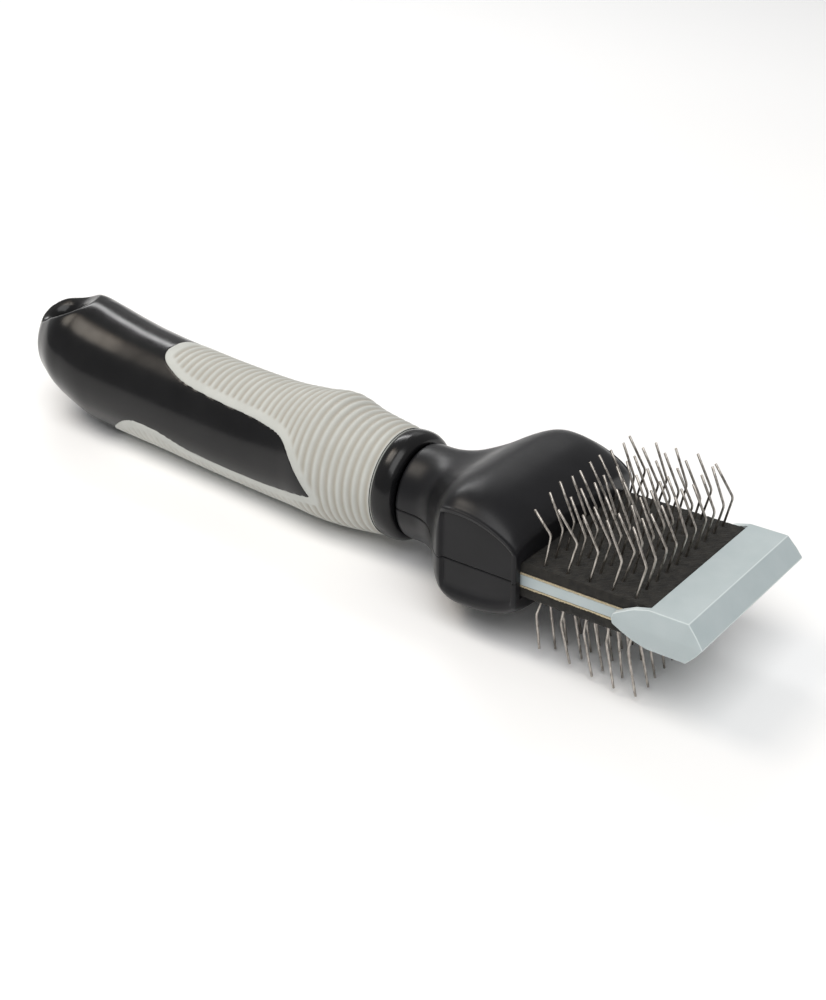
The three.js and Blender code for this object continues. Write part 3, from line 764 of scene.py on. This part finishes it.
def cushion(name, side):
    """Foam with a soft grain, drawn down a little round each pin."""
    def relief(x, y):
        dimples = np.zeros_like(x)
        for row in range(PIN_ROWS):
            for column in range(PIN_COLUMNS):
                px, py = pin_base(row, column)
                dimples += np.exp(-((x - px) ** 2 + (y - py) ** 2) / DIMPLE_SPREAD)
        grain = noise_field(3 + side, x, y, size=1.1) + 0.6 * noise_field(5 + side, x, y, size=3.5)
        rise = CUSHION_GRAIN * grain - DIMPLE_DEPTH * dimples
        return rise, CUSHION_GRAIN * noise_field(7 + side, x, y, size=1.5)
    return slab(name, MATERIALS["cushion_black"], CUSHION_LOW, CUSHION_HIGH, side, relief)


def cloth(name, side):
    """The cushion's backing cloth; its cut edge is a little ragged."""
    def relief(x, y):
        return np.zeros_like(x), 0.07 + 0.11 * noise_field(11 + side, x, y, size=0.7)
    return slab(name, MATERIALS["foundation_cloth"], CLOTH_LOW, CLOTH_HIGH, side, relief)


def plate():
    """The flexible plate: wide between the pads, narrower inside the housing."""
    low, high = -PLATE_HALF, PLATE_HALF
    xs = np.concatenate([
        [-19, -18.8], np.linspace(-17, -2.3, 12), [TANG_FRONT], np.linspace(TANG_FRONT + 0.1, PLATE_END, 90),
    ])
    rings = []
    for x in xs:
        half = TANG_HALF_WIDTH if x <= TANG_FRONT else PAD_HALF_WIDTH
        flat, upper, lower = half - PLATE_CHAMFER, high - PLATE_CHAMFER, low + PLATE_CHAMFER
        section = [
            (flat, high), (half, upper), (half, lower), (flat, low),
            (-flat, low), (-half, lower), (-half, upper), (-flat, high),
        ]
        rings.append([(x, y, z) for y, z in section])
    return make_object("plate_core", *closed_tube(rings), MATERIALS["pale_plastic"], 40)


def wire(points, radius, around=8):
    """Rings of a round wire through points, with its ends rounded off a little."""
    points = np.asarray(points, float)
    tangents = np.gradient(points, axis=0)
    tangents /= np.linalg.norm(tangents, axis=1)[:, None]
    turn = np.linspace(0, 2 * math.pi, around, endpoint=False)
    rings = []
    for i, (point, tangent) in enumerate(zip(points, tangents)):
        across = np.cross(tangent, (0, 1, 0))
        across /= np.linalg.norm(across)
        other = np.cross(tangent, across)
        r = radius * (0.6 if i == len(points) - 1 else 1)
        rings.append(point + r * (np.cos(turn)[:, None] * across + np.sin(turn)[:, None] * other))
    return rings


def pin_path(x, y, side):
    """A kneed wire from inside the cushion to its tip, with the small strays of a used tool."""
    (knee_lean, knee_rise), (tip_lean, tip_rise) = PIN_SHAPE[side]
    worn = math.exp(-((x - PIN_FIRST_X) / WORN_REACH) ** 2 - ((y + PAD_HALF_WIDTH) / WORN_REACH) ** 2)
    knee_wear, tip_wear = WORN_CORNER
    knee = np.array([
        x + knee_lean + worn * knee_wear[0] + RNG.normal(0, KNEE_STRAY[0]),
        y + RNG.normal(0, KNEE_STRAY[1]),
        CUSHION_HIGH + knee_rise + worn * knee_wear[1] + RNG.normal(0, KNEE_STRAY[2]),
    ])
    tip = np.array([
        x + tip_lean + worn * tip_wear[0] + RNG.normal(0, TIP_STRAY[0]),
        knee[1] + RNG.normal(0, TIP_STRAY[1]),
        CUSHION_HIGH + tip_rise + worn * tip_wear[1] - abs(RNG.normal(0, TIP_STRAY[2])),
    ])
    root = np.array([x, y, CLOTH_HIGH])
    foot = np.array([x, y, CUSHION_HIGH - 0.5])
    below = foot + (knee - foot) * 0.92
    above = knee + (tip - knee) * 0.07
    corner = knee * 0.5 + (below + above) * 0.25
    end = tip + (tip - above) / np.linalg.norm(tip - above) * 0.08
    return [root, foot, (foot + knee) / 2, below, corner, above, (above + tip) / 2, tip, end]


def pin_row(name, side, row):
    points, faces = [], []
    for column in range(PIN_COLUMNS):
        p, f = closed_tube(wire(pin_path(*pin_base(row, column), side), PIN_RADIUS))
        faces += [tuple(i + len(points) for i in face) for face in f]
        points += p.tolist()
    return make_object(name, points, faces, MATERIALS["pin_steel"], 60, side)


def clip():
    """The moulded clip: drafted ends, cheeks along the pads, and every edge rounded."""
    upper = [(CLIP_ENDS[0], 0.0)] + CLIP_PROFILE + [(CLIP_ENDS[1], 0.0)]
    outline = upper + [(x, -z) for x, z in reversed(upper[1:-1])]
    count, tip = len(outline), len(upper) - 1
    points = [
        (x, side * (CLIP_HALF_WIDTH - CLIP_DRAFT * abs(z)), z) for side in (-1, 1) for x, z in outline
    ]
    faces = [(i, (i + 1) % count, count + (i + 1) % count, count + i) for i in range(count)]
    for base in (0, count):
        faces.append(tuple(base + i for i in range(tip + 1)))
        faces.append(tuple(base + i % count for i in range(tip, count + 1)))
    made = make_object("clip_shell", points, faces, MATERIALS["pale_plastic"])
    inner = CLIP_HALF_WIDTH - CLIP_CHEEK
    cut(made, box_cutter((0, -inner, -20), (CLIP_BACK, inner, 20)))
    slot = PLATE_HALF + CLIP_SLOT_PLAY
    cut(made, box_cutter((0, -inner, -slot), (CLIP_SLOT_END, inner, slot)))
    rounding = made.modifiers.new("rounding", "BEVEL")
    rounding.width = CLIP_ROUNDING * MM
    rounding.segments = 3
    rounding.limit_method = "ANGLE"
    rounding.angle_limit = math.radians(18)
    rounding.harden_normals = True
    apply_modifiers(made)
    # The rounded edges are marked for their painted highlight.
    mark_edge_highlights(made.data)
    return made


def mark_edge_highlights(mesh):
    """Gives the points inside the rounded edges, which touch no large face, the attribute edge = 1, for the
    painted highlight along them.
    """
    edge = np.ones(len(mesh.vertices))
    for polygon in mesh.polygons:
        if polygon.area > LARGE_FACE * MM ** 2:
            edge[list(polygon.vertices)] = 0
    mesh.attributes.new("edge", "FLOAT", "POINT").data.foreach_set("value", edge)


# ---- putting it together --------------------------------------------------------------------------------


def rigid(obj, body, slot, *nodes):
    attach(obj, body)
    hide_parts(*nodes)


def bending(obj, slot, *nodes):
    """Moves a piece of the blade into world space and hides the CAD nodes it stands for; the blade bends just
    outside the housing's mouth.
    """
    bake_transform(obj)
    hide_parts(*nodes)


def build_brush():
    rigid(handle_core(), "handle", "gloss_black", "handle_core")
    rigid(grip(), "handle", "soft_grip", "grip_sleeve")
    rigid(housing_shell("housing_shell_top", 1), "handle", "satin_black", "housing_top")
    rigid(housing_shell("housing_shell_bottom", -1), "handle", "satin_black", "housing_bottom")
    rigid(clip(), "blade", "pale_plastic", "end_clip")
    bending(plate(), "pale_plastic", "flex_plate")
    for name, side in (("top", 1), ("bottom", -1)):
        backing = cloth(f"backing_{name}", side)
        bending(backing, "foundation_cloth", f"cloth_{name}")
        pad = cushion(f"pad_{name}", side)
        bending(pad, "cushion_black", f"cushion_{name}")
        for row in range(PIN_ROWS):
            pins = pin_row(f"pins_{name}_{row + 1}", side, row)
            bending(pins, "pin_steel", f"pin_row_{name}_{row + 1}")
    for name in ("neck_cross_pin", "clamp_screw_near", "clamp_screw_far"):
        node = frame["nodes"][name]
        node.data.materials.clear()
        node.data.materials.append(MATERIALS["screw_steel"])


# ---- camera, floor and light ----------------------------------------------------------------------------

CAMERA_AT = (156.51, -271.19, 170.73)  # in the head's frame, mm from the mouth
CAMERA_AZIMUTH, CAMERA_ELEVATION = 37.02, 27.21
CAMERA_LENS = 54.0
FLOOR_HALF = 6.0  # in m, like the places and sizes of the lights
WORLD_STRENGTH = 0.38
# For each light: where it stands, what it faces, its two sizes, its power in W and its colour.
LIGHTS = {
    "camera_side": ((0.7, -1.0, 2.3), (0, 0, 0), (2.2, 2.2), 48, (1, 1, 1)),
    "ridge": ((-0.68, 0.54, 0.63), (-0.05, 0, 0.03), (0.5, 0.16), 2.0, (1, 1, 1)),
    "far_left": ((-0.5, 1.1, 0.8), (0.05, 0, 0.03), (0.6, 0.5), 0.6, (1, 1, 1)),
    "warm": ((-0.61, -0.2, 0.86), (-0.083, 0, 0.03), (0.12, 0.46), 0.5, (1, 0.84, 0.66)),
    "rim": ((-0.27, -0.175, 0.515), (0.055, -0.025, 0.035), (0.24, 0.24), 0.9, (1, 0.93, 0.84)),
}


def add_camera():
    data = bpy.data.cameras.new("camera")
    data.lens = CAMERA_LENS
    data.sensor_width = 36.0
    data.clip_start, data.clip_end = 0.01, 50.0
    obj = bpy.data.objects.new("camera", data)
    bpy.context.scene.collection.objects.link(obj)
    a, e = math.radians(CAMERA_AZIMUTH), math.radians(CAMERA_ELEVATION)
    back = Vector((math.sin(a) * math.cos(e), -math.cos(a) * math.cos(e), math.sin(e)))
    right = Vector((math.cos(a), math.sin(a), 0))
    up = back.cross(right)
    turn = Matrix((right, up, back)).transposed().to_4x4()
    obj.matrix_world = HEAD @ Matrix.Translation(Vector(CAMERA_AT) * MM) @ turn
    bpy.context.scene.camera = obj


def add_floor():
    corners = [(x * FLOOR_HALF, y * FLOOR_HALF, 0) for x, y in ((-1, -1), (1, -1), (1, 1), (-1, 1))]
    mesh = bpy.data.meshes.new("floor")
    mesh.from_pydata(corners, [], [(0, 1, 2, 3)])
    obj = bpy.data.objects.new("floor", mesh)
    bpy.context.scene.collection.objects.link(obj)
    made, nodes, links, shader = new_material("floor", 0.6, specular=0.2)
    shade_noise = noise_node(nodes, links, 400.0, 2.0)
    links.new(
        colour_between(nodes, links, shade_noise, (0.93, 0.93, 0.93), (0.95, 0.95, 0.95)),
        shader.inputs["Base Color"],
    )
    mesh.materials.append(made)


def softbox(name, at, towards, size, power, colour):
    """A rectangular light at a point; its first size lies as nearly along x as the aim allows."""
    data = bpy.data.lights.new(name, "AREA")
    data.shape = "RECTANGLE"
    data.size, data.size_y = size
    data.energy = power
    data.color = colour
    obj = bpy.data.objects.new(name, data)
    bpy.context.scene.collection.objects.link(obj)
    back = (Vector(at) - Vector(towards)).normalized()
    along = (Vector((1, 0, 0)) - back * back.x).normalized()
    turn = Matrix((along, back.cross(along), back)).transposed().to_4x4()
    obj.matrix_world = Matrix.Translation(Vector(at)) @ turn


def add_lights():
    world = bpy.data.worlds.new("studio")
    bpy.context.scene.world = world
    world.use_nodes = True
    background = world.node_tree.nodes["Background"]
    background.inputs["Color"].default_value = (1, 1, 1, 1)
    background.inputs["Strength"].default_value = WORLD_STRENGTH
    for name, settings in LIGHTS.items():
        softbox(name, *settings)


def set_view():
    scene = bpy.context.scene
    scene.view_settings.view_transform = "Standard"
    scene.view_settings.look = "None"
    scene.view_settings.exposure = 0.0


add_camera()
add_floor()
add_lights()
set_view()
build_brush()
